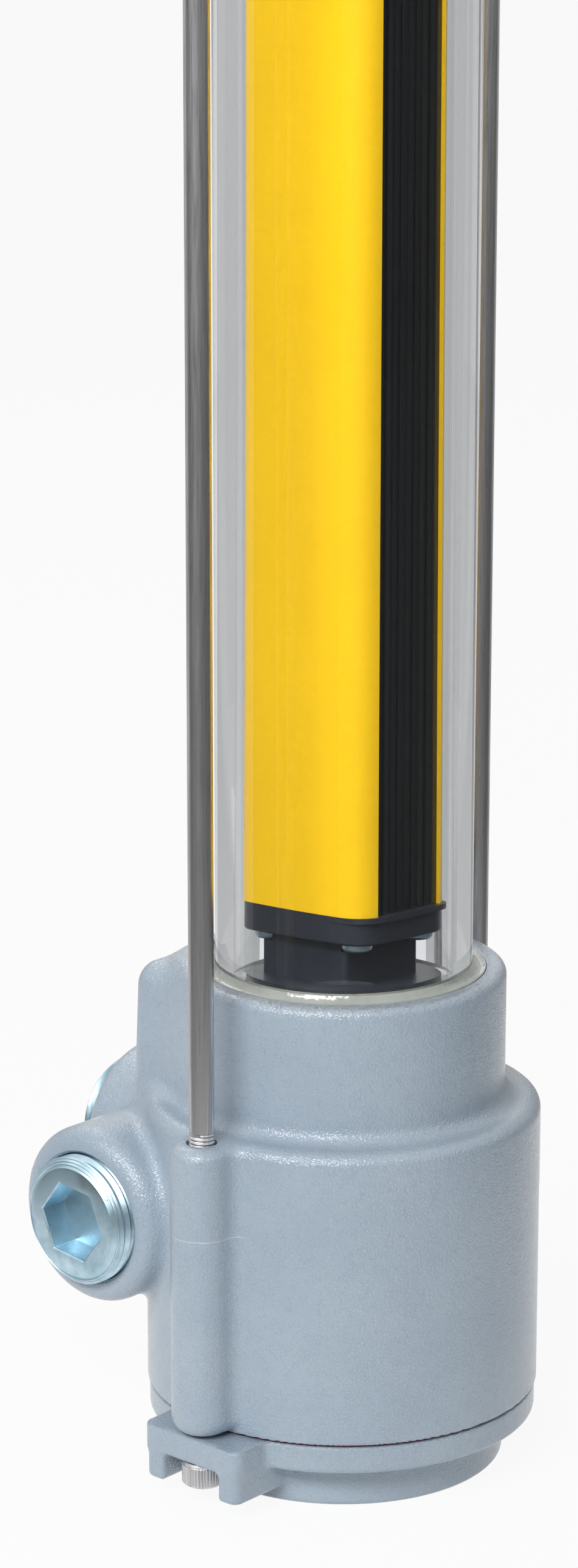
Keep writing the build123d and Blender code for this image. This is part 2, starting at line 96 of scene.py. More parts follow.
def turnedMesh(name, outline, segments=128, place=None, closed=False):
    # Revolves an outline of (radius, height) points. It starts and ends on the axis, or is a closed ring.
    points, faces, rings = [], [], []
    for radius, height in outline:
        if radius < 1e-6:
            rings.append([len(points)])
            points.append((0, 0, height))
            continue
        rings.append(list(range(len(points), len(points) + segments)))
        for i in range(segments):
            angle = 2 * math.pi * i / segments
            points.append((radius * math.cos(angle), radius * math.sin(angle), height))
    pairs = list(zip(rings, rings[1:]))
    if closed:
        pairs.append((rings[-1], rings[0]))
    for low, high in pairs:
        for i in range(segments):
            j = (i + 1) % segments
            if len(low) == 1:
                faces.append((low[0], high[j], high[i]))
            elif len(high) == 1:
                faces.append((low[i], low[j], high[0]))
            else:
                faces.append((low[i], low[j], high[j], high[i]))
    turn = place or Matrix.Identity(4)
    mesh = meshOf(name, [(turn @ Vector(p)) / 1000 for p in points], faces)
    faceOutwards(mesh)
    return mesh


def faceOutwards(mesh):
    work = bmesh.new()
    work.from_mesh(mesh)
    bmesh.ops.recalc_face_normals(work, faces=work.faces)
    if work.calc_volume(signed=True) < 0:
        bmesh.ops.reverse_faces(work, faces=work.faces)
    work.to_mesh(mesh)
    work.free()
    mesh.update()


def joinMeshes(name, meshes):
    work = bmesh.new()
    for mesh in meshes:
        work.from_mesh(mesh)
    joined = bpy.data.meshes.new(name)
    work.to_mesh(joined)
    work.free()
    return joined


def smooth(mesh, sharpDegrees=32):
    mesh.shade_smooth()
    mesh.set_sharp_from_angle(angle=math.radians(sharpDegrees))


def carve(piece, cutters):
    # Takes each cutter away from the piece and keeps the result as a plain mesh.
    for cutter in cutters:
        tool = newObject("cutter", cutter)
        step = piece.modifiers.new("carve", "BOOLEAN")
        step.operation = "DIFFERENCE"
        step.solver = "MANIFOLD"
        step.object = tool
        carved = bpy.data.meshes.new_from_object(piece.evaluated_get(bpy.context.evaluated_depsgraph_get()))
        piece.modifiers.clear()
        piece.data = carved
        bpy.data.objects.remove(tool)
    return piece


# Materials

class Shader:
    # A material with a Principled surface and short calls for its node tree.
    def __init__(self, name, **sockets):
        self.material = bpy.data.materials.new(name)
        self.material.use_nodes = True
        self.tree = self.material.node_tree
        self.surface = self.tree.nodes["Principled BSDF"]
        for socket, value in sockets.items():
            self.surface.inputs[socket.replace("_", " ")].default_value = value
        self.coords = self.add("ShaderNodeTexCoord").outputs["Object"]

    def add(self, kind, **settings):
        node = self.tree.nodes.new(kind)
        for key, value in settings.items():
            setattr(node, key, value)
        return node

    def link(self, source, target):
        self.tree.links.new(source, target)

    def stretch(self, scale):
        mapping = self.add("ShaderNodeMapping")
        mapping.inputs["Scale"].default_value = scale
        self.link(self.coords, mapping.inputs["Vector"])
        return mapping.outputs["Vector"]

    def noise(self, scale, detail=2.0, roughness=0.5, vector=None):
        node = self.add("ShaderNodeTexNoise")
        node.inputs["Scale"].default_value = scale
        node.inputs["Detail"].default_value = detail
        node.inputs["Roughness"].default_value = roughness
        self.link(vector or self.coords, node.inputs["Vector"])
        return node.outputs["Fac"]

    def veins(self, scale, vector=None):
        node = self.add("ShaderNodeTexVoronoi", feature="DISTANCE_TO_EDGE")
        node.inputs["Scale"].default_value = scale
        self.link(vector or self.coords, node.inputs["Vector"])
        return node.outputs["Distance"]

    def warped(self, scale, reach):
        # The coordinates, pushed about by a noise, so that a pattern on them looks grown.
        noise = self.add("ShaderNodeTexNoise")
        noise.inputs["Scale"].default_value = scale
        self.link(self.coords, noise.inputs["Vector"])
        push = self.add("ShaderNodeVectorMath", operation="MULTIPLY_ADD")
        push.inputs[1].default_value = (reach, reach, reach)
        self.link(noise.outputs["Color"], push.inputs[0])
        self.link(self.coords, push.inputs[2])
        return push.outputs[0]

    def math(self, operation, first, second=0.0):
        node = self.add("ShaderNodeMath", operation=operation)
        for socket, value in zip(node.inputs, (first, second)):
            if isinstance(value, bpy.types.NodeSocket):
                self.link(value, socket)
            else:
                socket.default_value = value
        return node.outputs[0]

    def axis(self, name):
        split = self.add("ShaderNodeSeparateXYZ")
        self.link(self.coords, split.inputs[0])
        return split.outputs[name]

    def span(self, value, low, high, fromLow=0.0, fromHigh=1.0):
        node = self.add("ShaderNodeMapRange")
        node.inputs["From Min"].default_value = fromLow
        node.inputs["From Max"].default_value = fromHigh
        node.inputs["To Min"].default_value = low
        node.inputs["To Max"].default_value = high
        self.link(value, node.inputs["Value"])
        return node.outputs["Result"]

    def mix(self, factor, first, second):
        node = self.add("ShaderNodeMix", data_type="RGBA")
        for socket, value in ((node.inputs[0], factor), (node.inputs[6], first), (node.inputs[7], second)):
            if isinstance(value, bpy.types.NodeSocket):
                self.link(value, socket)
            else:
                socket.default_value = value
        return node.outputs[2]

    def bump(self, height, distance, strength=1.0, below=None):
        node = self.add("ShaderNodeBump")
        node.inputs["Distance"].default_value = distance
        node.inputs["Strength"].default_value = strength
        self.link(height, node.inputs["Height"])
        if below is not None:
            self.link(below, node.inputs["Normal"])
        return node.outputs["Normal"]

    def softEdges(self, radius):
        bevel = self.add("ShaderNodeBevel", samples=4)
        bevel.inputs["Radius"].default_value = radius
        return bevel.outputs["Normal"]

    def set(self, **sockets):
        for socket, value in sockets.items():
            self.link(value, self.surface.inputs[socket.replace("_", " ")])
        return self


paintLook = {
    "color": srgb(174, 189, 202), "deep": srgb(166, 181, 196), "cloudScale": 45, "cloudBand": (0.35, 0.7),
    "roughness": 0.3, "coat": 0.6, "coatRoughness": 0.14, "edge": mm(0.45),
    "cellScale": 1350, "warpScale": 1300, "warp": mm(0.7), "cellBand": (0.0, 0.3),
    "cellDepth": mm(0.06), "cellStrength": 0.8, "peelScale": 1500, "peelDepth": mm(0.11), "peelStrength": 0.85,
    "vein": srgb(118, 133, 146), "veinBand": (0.0, 0.12), "veinShare": 0.3,
    "breakScale": 500, "breakLow": 0.25, "breakBand": (0.4, 0.6),
    "rust": srgb(150, 132, 128), "rimBand": (mm(102.2), mm(103.45)), "rimEnd": mm(103.45) * 1.01,
    "spotScale": 1100, "spotBand": (0.52, 0.66), "spotShare": 0.7,
    "seamHighlight": srgb(214, 224, 232), "seamHeight": mm(57.6), "seamWidth": mm(0.22), "seamHighlightShare": 0.7,
    "seamBand": (mm(-39), mm(-40)), "seamSide": mm(8), "seamDepth": mm(0.1), "seamStrength": 0.9,
}


def seamMask(shader, height):
    # A thin line across the rib at the height where the halves of the mould met, kept to the outer side of the left
    # rib. The mask carries a painted highlight in the colour and a small bump.
    look = paintLook
    away = shader.math("ABSOLUTE", shader.math("SUBTRACT", height, look["seamHeight"]))
    seam = shader.span(away, 1.0, 0.0, 0.0, look["seamWidth"])
    seam = shader.math("MULTIPLY", seam, shader.span(shader.axis("X"), 0.0, 1.0, *look["seamBand"]))
    return shader.math("MULTIPLY", seam, shader.math("LESS_THAN", shader.axis("Y"), look["seamSide"]))


def castPaint():
    look = paintLook
    shader = Shader("castPaint", Roughness=look["roughness"], Coat_Weight=look["coat"],
                    Coat_Roughness=look["coatRoughness"])
    clouds = shader.span(shader.noise(look["cloudScale"]), 0.0, 1.0, *look["cloudBand"])
    color = shader.mix(clouds, look["color"], look["deep"])
    cells = shader.veins(look["cellScale"], shader.warped(look["warpScale"], look["warp"]))
    lines = shader.span(cells, 1.0, 0.0, *look["veinBand"])
    broken = shader.span(shader.noise(look["breakScale"], 2.0, 0.7), look["breakLow"], 1.0, *look["breakBand"])
    lines = shader.math("MULTIPLY", shader.math("MULTIPLY", lines, broken), look["veinShare"])
    color = shader.mix(lines, color, look["vein"])
    height = shader.axis("Z")
    rim = shader.span(height, 0.0, 1.0, *look["rimBand"])
    rim = shader.math("MULTIPLY", rim, shader.math("LESS_THAN", height, look["rimEnd"]))
    spots = shader.span(shader.noise(look["spotScale"], 2.0, 0.7), 0.0, look["spotShare"], *look["spotBand"])
    color = shader.mix(shader.math("MULTIPLY", rim, spots), color, look["rust"])
    seam = seamMask(shader, height)
    # Lighter colour along the seam line: a painted highlight, not the paint's own colour.
    color = shader.mix(shader.math("MULTIPLY", seam, look["seamHighlightShare"]), color, look["seamHighlight"])
    peel = shader.noise(look["peelScale"], 1.0)
    pillows = shader.span(cells, 0.0, 1.0, *look["cellBand"])
    normal = shader.bump(peel, look["peelDepth"], look["peelStrength"], shader.softEdges(look["edge"]))
    normal = shader.bump(pillows, look["cellDepth"], look["cellStrength"], normal)
    normal = shader.bump(seam, look["seamDepth"], look["seamStrength"], normal)
    return shader.set(Base_Color=color, Normal=normal, Coat_Normal=normal).material


metalLook = {"toneBand": (0.32, 0.7), "roughBand": (0.3, 0.7), "smoothest": 0.75, "roughest": 1.4,
             "strength": 0.5, "edge": mm(0.15)}


def plainMetal(name, color, dark, roughness, scratchScale, depth, stretch=(1, 1, 1)):
    look = metalLook
    shader = Shader(name, Metallic=1.0, Roughness=roughness)
    streaks = shader.noise(scratchScale, 4.0, 0.6, shader.stretch(stretch))
    tone = shader.mix(shader.span(streaks, 0.0, 1.0, *look["toneBand"]), color, dark)
    rough = shader.span(streaks, roughness * look["smoothest"], roughness * look["roughest"], *look["roughBand"])
    normal = shader.bump(streaks, depth, look["strength"], shader.softEdges(look["edge"]))
    return shader.set(Base_Color=tone, Roughness=rough, Normal=normal).material


glassLook = {"color": (0.97, 0.98, 0.985, 1), "bending": 1.473, "tint": (0.8, 0.81, 0.83, 1), "density": 38}


def glass():
    look = glassLook
    shader = Shader("tubeGlass", Base_Color=look["color"], Roughness=0.0, IOR=look["bending"],
                    Transmission_Weight=1.0)
    tint = shader.add("ShaderNodeVolumeAbsorption")
    tint.inputs["Color"].default_value = look["tint"]
    tint.inputs["Density"].default_value = look["density"]
    shader.link(tint.outputs[0], shader.tree.nodes["Material Output"].inputs["Volume"])
    return shader.material


compoundLook = {"coatRoughness": 0.03, "cloudScale": 160, "cloudBand": (0.35, 0.65), "wave": mm(0.7),
                "waveStrength": 0.8, "rippleScale": 420, "ripple": mm(0.06), "rippleStrength": 0.5}


def potting(name, color, deep, roughness, coat):
    look = compoundLook
    shader = Shader(name, Roughness=roughness, Coat_Weight=coat, Coat_Roughness=look["coatRoughness"])
    clouds = shader.noise(look["cloudScale"], 3.0, 0.6)
    tone = shader.mix(shader.span(clouds, 0.0, 1.0, *look["cloudBand"]), color, deep)
    normal = shader.bump(clouds, look["wave"], look["waveStrength"])
    normal = shader.bump(shader.noise(look["rippleScale"], 2.0, 0.6), look["ripple"], look["rippleStrength"], normal)
    return shader.set(Base_Color=tone, Normal=normal, Coat_Normal=normal).material


plasticLook = {"band": (0.45, 0.7), "strength": 0.3}


def plastic(name, color, light, roughness, grain, depth):
    look = plasticLook
    shader = Shader(name, Roughness=roughness)
    grains = shader.noise(grain, 2.0, 0.6)
    tone = shader.mix(shader.span(grains, 0.0, 1.0, *look["band"]), color, light)
    return shader.set(Base_Color=tone, Normal=shader.bump(grains, depth, look["strength"])).material


windowLook = {"color": srgb(14, 16, 17), "line": srgb(38, 42, 44), "roughness": 0.12, "lineScale": 450,
              "lineBand": (0.44, 0.66), "stretch": (1, 1, 0.0001)}


def windowPlastic():
    look = windowLook
    shader = Shader("opticWindow", Roughness=look["roughness"])
    lines = shader.noise(look["lineScale"], 2.0, 0.6, shader.stretch(look["stretch"]))
    tone = shader.mix(shader.span(lines, 0.0, 1.0, *look["lineBand"]), look["color"], look["line"])
    return shader.set(Base_Color=tone).material


powderLook = {"color": srgb(236, 190, 8), "deep": srgb(232, 185, 6), "cloudScale": 25, "cloudBand": (0.35, 0.7),
              "roughness": 0.28, "coat": 0.15, "coatRoughness": 0.1, "peelScale": 900, "peel": mm(0.01),
              "peelStrength": 0.4}


def powderCoat():
    look = powderLook
    shader = Shader("yellowCoat", Roughness=look["roughness"], Coat_Weight=look["coat"],
                    Coat_Roughness=look["coatRoughness"])
    clouds = shader.span(shader.noise(look["cloudScale"]), 0.0, 1.0, *look["cloudBand"])
    normal = shader.bump(shader.noise(look["peelScale"], 1.0), look["peel"], look["peelStrength"])
    return shader.set(Base_Color=shader.mix(clouds, look["color"], look["deep"]), Normal=normal).material


finishes = {
    "cast_paint": castPaint(),
    "gasket": plastic("gasketSheet", srgb(104, 24, 44), srgb(124, 38, 58), 0.6, 900, mm(0.04)),
    "stainless": plainMetal("drawnStainless", srgb(226, 225, 226), srgb(178, 177, 179), 0.34, 2400, mm(0.006),
                            (1, 1, 0.03)),
    "zinc": plainMetal("zincPlating", srgb(204, 227, 238), srgb(168, 198, 212), 0.34, 220, mm(0.03)),
    "tube_glass": glass(),
    "potting": potting("castingCompound", srgb(180, 184, 178), srgb(168, 172, 165), 0.2, 0.6),
    "black_plastic": plastic("blackPlastic", srgb(36, 40, 48), srgb(42, 46, 55), 0.36, 500, mm(0.004)),
    "yellow_paint": powderCoat(),
    "window_plastic": windowPlastic(),
    "board": plastic("boardLacquer", srgb(30, 110, 66), srgb(40, 126, 78), 0.35, 500, mm(0.01)),
    "terminal_plastic": plastic("terminalPlastic", srgb(196, 196, 186), srgb(206, 206, 198), 0.45, 900, mm(0.02)),
    "brass": plainMetal("plainBrass", srgb(214, 184, 110), srgb(178, 148, 84), 0.3, 240, mm(0.03)),
}
coreFinish = potting("coreCompound", srgb(150, 153, 141), srgb(138, 142, 130), 0.1, 1.0)
# The small balls on the potting are dark grey: painted shade standing in for the hollows of open bubbles.
pitShadeFinish = plastic("bubblePitShade", srgb(104, 108, 102), srgb(124, 128, 120), 0.3, 900, mm(0.01))

slotOf = {entry["node"]: entry["material_slot"] for entry in frame["record"]["subparts"]}


def replace(piece, nodeName, sharpDegrees=32):
    # Makes a finished mesh the visible body of one node of the frame.
    slotName = slotOf[nodeName]
    if not any(piece.data.materials):
        piece.data.materials.clear()
        piece.data.materials.append(finishes[slotName])
    smooth(piece.data, sharpDegrees)
    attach(piece, "root")
    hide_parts(nodeName)
    return piece


# Rounded unions and cuts of distance fields, for the cast pieces

def roundMin(first, second, radius):
    near = np.sqrt(np.maximum(radius - first, 0) ** 2 + np.maximum(radius - second, 0) ** 2)
    return np.maximum(radius, np.minimum(first, second)) - near


def roundMax(first, second, radius):
    return -roundMin(-first, -second, radius)


def pole(x, y, radius):
    return np.sqrt(x * x + y * y) - radius


def settle(shape, places, rounds=5, step=0.02):
    # Moves points along the field's slope until they lie on its zero surface.
    for _ in range(rounds):
        value = shape(*places.T)
        slope = np.empty_like(places)
        for axis in range(3):
            shift = np.zeros(3)
            shift[axis] = step
            slope[:, axis] = (shape(*(places + shift).T) - shape(*(places - shift).T)) / (2 * step)
        size = np.maximum((slope ** 2).sum(axis=1), 0.25)
        places = places - (value / size)[:, None] * slope
    return places


def castPiece(name, shape, look):
    # Turns a distance field into an even quad skin.
    low, high, voxel = look["low"], look["high"], look["voxel"]
    axes = [np.arange(low[i], high[i] + voxel, voxel) for i in range(3)]
    field = shape(*np.meshgrid(*axes, indexing="ij")).astype(np.float32)
    grid = vdb.FloatGrid(1.0)
    grid.copyFromArray(field)
    points, triangles, quads = grid.convertToPolygons(0.0, 0.0)
    places = settle(shape, np.array(low) + np.asarray(points, dtype=float) * voxel)
    mesh = meshOf(name, places / 1000, list(triangles) + list(quads))
    faceOutwards(mesh)
    return newObject(name, mesh)


# Terminal housing

housingLook = {
    "low": (-50.0, -42.0, 14.0), "high": (50.0, 58.6, 105.5), "voxel": 0.72,
    "body": 40.1, "bottom": 15.8, "shoulder": 76.2, "shoulderEdge": 2.6, "footEdge": 0.35,
    "rib": 6.3, "ribRoot": 3.0, "ribFoot": 3.5,
    "collar": 32.8, "collarLow": 60.0, "collarTop": 103.5, "collarEdge": 1.8, "collarRoot": 3.2,
    "boss": 18.3, "bossEdge": 3.9, "bossY": 31.8, "sideZ": 53.0, "sideFace": 42.9, "rearZ": 57.5, "rearFace": 56.6,
    "bossRoot": 3.4, "saddle": 3.4,
    "blockX": 26.6, "blockY": 36.6, "blockLow": 51.0, "blockTop": 102.8, "blockCorner": 4.2, "blockEdge": 5.2,
    "draft": math.tan(math.radians(1.5)), "blockRoot": 4.5,
    "seamZ": 57.6, "seamStep": 0.05, "seamSpread": 0.35,
}


def housingField(x, y, z):
    look = housingLook
    wall = pole(x, y, look["body"])
    section = roundMin(wall, pole(np.abs(x) - rodX, y, look["rib"]), look["ribRoot"])
    ribbed = roundMax(section, look["bottom"] - z, look["ribFoot"])
    body = np.minimum(ribbed, roundMax(wall, look["bottom"] - z, look["footEdge"]))
    body = roundMax(body, z - look["shoulder"], look["shoulderEdge"])
    side = roundMax(pole(y - look["bossY"], z - look["sideZ"], look["boss"]), -look["sideFace"] - x, look["bossEdge"])
    rear = roundMax(pole(x, z - look["rearZ"], look["boss"]), y - look["rearFace"], look["bossEdge"])
    bosses = roundMin(np.maximum(side, x), np.maximum(rear, -y), look["saddle"])
    inset = (z - look["blockLow"]) * look["draft"]
    block = roundMax(np.abs(x) - look["blockX"] + inset, y - look["blockY"] + inset, look["blockCorner"])
    block = roundMax(block, z - look["blockTop"], look["blockEdge"])
    block = np.maximum(block, np.maximum(look["blockLow"] - z, -y))
    collar = roundMax(pole(x, y, look["collar"]), z - look["collarTop"], look["collarEdge"])
    collar = np.maximum(collar, look["collarLow"] - z)
    shape = roundMin(body, collar, look["collarRoot"])
    shape = roundMin(shape, block, look["blockRoot"])
    shape = roundMin(shape, bosses, look["bossRoot"])
    shape = np.maximum(shape, look["bottom"] - z)
    return shape - look["seamStep"] / (1 + np.exp((look["seamZ"] - z) / (look["seamSpread"] / 4)))


cutLook = {
    "chamber": 34.0, "chamberLow": 5.0, "chamberRoof": 70.0, "bore": 28.7, "boreFloor": 80.0, "lip": 0.6,
    "passage": 14.0, "passageLow": 65.0, "passageHigh": 85.0,
    "entry": 13.4, "entryMouth": 0.5, "taper": 1 / 32, "sideDepth": 42.9, "rearDepth": 29.6,
    "thread": 2.55, "eye": 3.05, "eyeDepth": 1.5, "screwLow": 10.0, "screwTop": 28.6, "rodFloor": 65.2,
    "fixingX": 17.0, "fixingZ": 90.0, "fixing": 2.5, "fixingDepth": 10.0,
    "roofX": 16.0, "roofY": -22.0, "roofRadius": 1.55, "roofLow": 65.0, "roofTop": 74.5,
    "earthX": 23.0, "earthY": 6.0, "earthRadius": 2.05, "earthTop": 75.0,
}


def rod(radius, low, high):
    return [(0, low), (radius, low), (radius, high), (0, high)]


def entryOutline(depth):
    look = cutLook
    rim = look["entry"] + look["entryMouth"]
    end = look["entry"] - depth * look["taper"]
    return [(0, -depth), (end, -depth), (look["entry"], -look["entryMouth"]), (rim, 0), (rim, 3), (0, 3)]


sidePlace = along((-housingLook["sideFace"], housingLook["bossY"], housingLook["sideZ"]), (-1, 0, 0), (0, 1, 0))
rearPlace = along((0, housingLook["rearFace"], housingLook["rearZ"]), (0, 1, 0), (1, 0, 0))


def rodHoles():
    look, top = cutLook, housingLook["shoulder"]
    ledge = top - look["eyeDepth"]
    eye = [(0, look["rodFloor"]), (look["thread"], look["rodFloor"]), (look["thread"], ledge),
           (look["eye"], ledge), (look["eye"], top + 2), (0, top + 2)]
    holes = []
    for place in rodPlaces():
        holes.append(turnedMesh("screwHole", rod(look["thread"], look["screwLow"], look["screwTop"]), 48, place))
        holes.append(turnedMesh("rodHole", eye, 64, place))
    return holes


def smallHoles():
    # Blind holes for the fixing screws behind the block, and for the screws in the chamber's roof.
    look, cast = cutLook, housingLook
    holes = []
    for side in (-1, 1):
        fixPlace = along((side * look["fixingX"], cast["blockY"], look["fixingZ"]), (0, 1, 0), (1, 0, 0))
        holes.append(turnedMesh("fixingHole", rod(look["fixing"], -look["fixingDepth"], 3), 48, fixPlace))
        roofPlace = Matrix.Translation((side * look["roofX"], look["roofY"], 0))
        holes.append(turnedMesh("roofHole", rod(look["roofRadius"], look["roofLow"], look["roofTop"]), 32, roofPlace))
    earthPlace = Matrix.Translation((look["earthX"], look["earthY"], 0))
    holes.append(turnedMesh("earthHole", rod(look["earthRadius"], look["roofLow"], look["earthTop"]), 32, earthPlace))
    return holes


def housingCutters():
    look, lip, top = cutLook, cutLook["lip"], housingLook["collarTop"]
    mouth = arc(look["bore"] + lip, top - lip, lip, 180, 90, 5) + [(look["bore"] + lip, top + 3), (0, top + 3)]
    return [
        turnedMesh("chamber", rod(look["chamber"], look["chamberLow"], look["chamberRoof"]), 192),
        turnedMesh("bore", [(0, look["boreFloor"]), (look["bore"], look["boreFloor"])] + mouth, 192),
        turnedMesh("passage", rod(look["passage"], look["passageLow"], look["passageHigh"]), 96),
        turnedMesh("sideEntry", entryOutline(look["sideDepth"]), 160, sidePlace),
        turnedMesh("rearEntry", entryOutline(look["rearDepth"]), 160, rearPlace),
    ] + rodHoles() + smallHoles()


castHousing = carve(castPiece("castHousing", housingField, housingLook), housingCutters())
replace(castHousing, "terminal_housing", 40)
print("housing:", len(castHousing.data.polygons), "faces")


# Base cover

coverLook = {
    "low": (-49.0, -42.0, -2.0), "high": (49.0, 42.0, 17.5), "voxel": 0.56,
    "step": 33.15, "stepEdge": 1.0, "flange": 39.7, "flangeLow": 9.6, "top": 15.3, "edge": 0.9, "root": 1.2,
    "reach": 46.4, "half": 12.4, "footWidth": 5.0, "footLow": 3.9, "corner": 2.2, "lugEdge": 0.8,
    "hole": 2.75, "spigot": 33.7, "spigotInner": 29.7, "spigotTop": 21.3,
}


def coverField(x, y, z):
    look = coverLook
    step = roundMax(pole(x, y, look["step"]), -z, look["stepEdge"])
    step = np.maximum(step, z - look["flangeLow"] - 3)
    flange = roundMax(pole(x, y, look["flange"]), look["flangeLow"] - z, look["edge"])
    outline = roundMax(np.abs(x) - look["reach"], np.abs(y) - look["half"], look["corner"])
    plate = roundMax(outline, look["flangeLow"] - z, look["lugEdge"])
    foot = roundMax(outline, look["half"] - look["footWidth"] - np.abs(y), look["lugEdge"])
    foot = roundMax(foot, look["footLow"] - z, look["lugEdge"])
    lugs = roundMin(plate, foot, look["root"])
    shape = roundMin(roundMin(flange, lugs, look["root"]), step, look["root"])
    return roundMax(shape, z - look["top"], look["edge"] / 2)


def baseCover():
    look = coverLook
    cover = castPiece("castCover", coverField, look)
    carve(cover, [turnedMesh("lugHole", rod(look["hole"], -5, 20), 48, place) for place in rodPlaces()])
    ring = [(look["spigotInner"], look["top"] - 0.5), (look["spigot"], look["top"] - 0.5),
            (look["spigot"], look["spigotTop"]), (look["spigotInner"], look["spigotTop"])]
    spigot = turnedMesh("spigot", ring, 128, closed=True)
    cover.data = joinMeshes("castCover", [cover.data, spigot])
    return replace(cover, "base_cover", 40)


print("cover:", len(baseCover().data.polygons), "faces")


# Top cap

capLook = {
    "low": (-51.0, -35.0, 432.0), "high": (51.0, 35.0, 466.0), "voxel": 0.85,
    "radius": 32.8, "rim": 434.5, "roof": 464.0, "edge": 3.0, "rimEdge": 0.6,
    "ear": 6.3, "earLow": 448.0, "earTop": 458.0, "earEdge": 1.0, "root": 3.0,
    "bore": 28.7, "boreTop": 458.0, "hole": 2.75, "spigot": 21.0, "spigotInner": 15.0, "spigotLow": 436.0,
}


def capField(x, y, z):
    look = capLook
    shell = roundMax(pole(x, y, look["radius"]), z - look["roof"], look["edge"])
    shell = roundMax(shell, look["rim"] - z, look["rimEdge"])
    arm = roundMin(np.maximum(np.abs(x) - rodX, np.abs(y) - look["ear"]),
                   pole(np.abs(x) - rodX, y, look["ear"]), 0.05)
    arm = roundMax(arm, z - look["earTop"], look["earEdge"])
    arm = roundMax(arm, look["earLow"] - z, look["earEdge"])
    return roundMin(shell, arm, look["root"])


def topCap():
    look = capLook
    cap = castPiece("castCap", capField, look)
    bore = turnedMesh("capBore", rod(look["bore"], 430, look["boreTop"]), 160)
    carve(cap, [bore] + [turnedMesh("earHole", rod(look["hole"], 440, 470), 48, place) for place in rodPlaces()])
    ring = [(look["spigotInner"], look["spigotLow"]), (look["spigot"], look["spigotLow"]),
            (look["spigot"], look["boreTop"] + 0.5), (look["spigotInner"], look["boreTop"] + 0.5)]
    cap.data = joinMeshes("castCap", [cap.data, turnedMesh("capSpigot", ring, 128, closed=True)])
    return replace(cap, "top_cap", 40)


print("top cap:", len(topCap().data.polygons), "faces")


# Node trees for what repeats

class Tree:
    # A geometry node tree with named number inputs and short calls.
    def __init__(self, name, **inputs):
        self.group = bpy.data.node_groups.new(name, "GeometryNodeTree")
        self.group.interface.new_socket("Geometry", in_out="INPUT", socket_type="NodeSocketGeometry")
        self.group.interface.new_socket("Geometry", in_out="OUTPUT", socket_type="NodeSocketGeometry")
        self.keys = {}
        for key, value in inputs.items():
            kind = "NodeSocketInt" if isinstance(value, int) else "NodeSocketFloat"
            socket = self.group.interface.new_socket(key, in_out="INPUT", socket_type=kind)
            self.keys[key] = (socket.identifier, value)
        self.entry = self.group.nodes.new("NodeGroupInput")
        self.exit = self.group.nodes.new("NodeGroupOutput")

    def add(self, kind, links=None, **settings):
        node = self.group.nodes.new(kind)
        for key, value in settings.items():
            setattr(node, key, value)
        for key, source in (links or {}).items():
            if isinstance(source, bpy.types.NodeSocket):
                self.group.links.new(source, node.inputs[key])
            else:
                node.inputs[key].default_value = source
        return node

    def input(self, key):
        return self.entry.outputs[key]

    def finish(self, geometry, material):
        realized = self.add("GeometryNodeRealizeInstances", {"Geometry": geometry})
        painted = self.add("GeometryNodeSetMaterial", {"Geometry": realized.outputs[0], "Material": material})
        self.group.links.new(painted.outputs[0], self.exit.inputs[0])

    def run(self, name, mesh=None):
        # Applies the tree to a mesh, or to nothing, and hands back the plain result.
        carrier = newObject(name, mesh or bpy.data.meshes.new(name))
        step = carrier.modifiers.new("nodes", "NODES")
        step.node_group = self.group
        for identifier, value in self.keys.values():
            step[identifier] = value
        result = bpy.data.meshes.new_from_object(carrier.evaluated_get(bpy.context.evaluated_depsgraph_get()))
        bpy.data.objects.remove(carrier)
        return result


def threadRidge(name, slotName, pitch, turns, lowRadius, highRadius, ridge, steps=96):
    # A helical ridge that climbs from local z=0, with a sharp crest.
    tree = Tree(name, pitch=mm(pitch), turns=float(turns), lowRadius=mm(lowRadius), highRadius=mm(highRadius),
                ridge=mm(ridge))
    height = tree.add("ShaderNodeMath", {0: tree.input("pitch"), 1: tree.input("turns")}, operation="MULTIPLY")
    helix = tree.add("GeometryNodeCurveSpiral", {
        "Resolution": steps, "Rotations": tree.input("turns"), "Start Radius": tree.input("lowRadius"),
        "End Radius": tree.input("highRadius"), "Height": height.outputs[0]})
    upright = tree.add("GeometryNodeSetCurveNormal", {"Curve": helix.outputs[0]}, mode="Z_UP")
    profile = tree.add("GeometryNodeCurvePrimitiveCircle", {"Resolution": 4, "Radius": tree.input("ridge")})
    swept = tree.add("GeometryNodeCurveToMesh", {
        "Curve": upright.outputs[0], "Profile Curve": profile.outputs[0], "Fill Caps": True})
    tree.finish(swept.outputs[0], finishes[slotName])
    return tree.run(name)


def moved(mesh, place):
    mesh.transform(Matrix.Scale(0.001, 4) @ place @ Matrix.Scale(1000, 4))
    return mesh


# Taper plugs

plugLook = {
    "face": 11.24, "mouth": 13.3, "chamfer": 1.6, "length": 20.0, "taper": 1 / 32, "pitch": 1.814, "ridge": 0.86,
    "coreDrop": 0.9, "mouthRound": ((-0.15, -0.25), (-0.05, 0.0)),
    "faceRound": ((0.45, -0.5), (0.0, -0.12), (-0.6, 0.0)),
    "hexFlats": 14.3, "hexDepth": 6.4, "tipDepth": 2.2, "tipGap": 0.02, "lead": 0.3,
    "tailGap": 0.2, "topGap": 0.1, "crestGap": 0.02,
    "lipPitch": 0.5, "lipTurns": 2.4, "lipRidge": 0.26, "lipLow": 13.02, "lipHigh": 11.9, "lipDrop": 0.1,
}


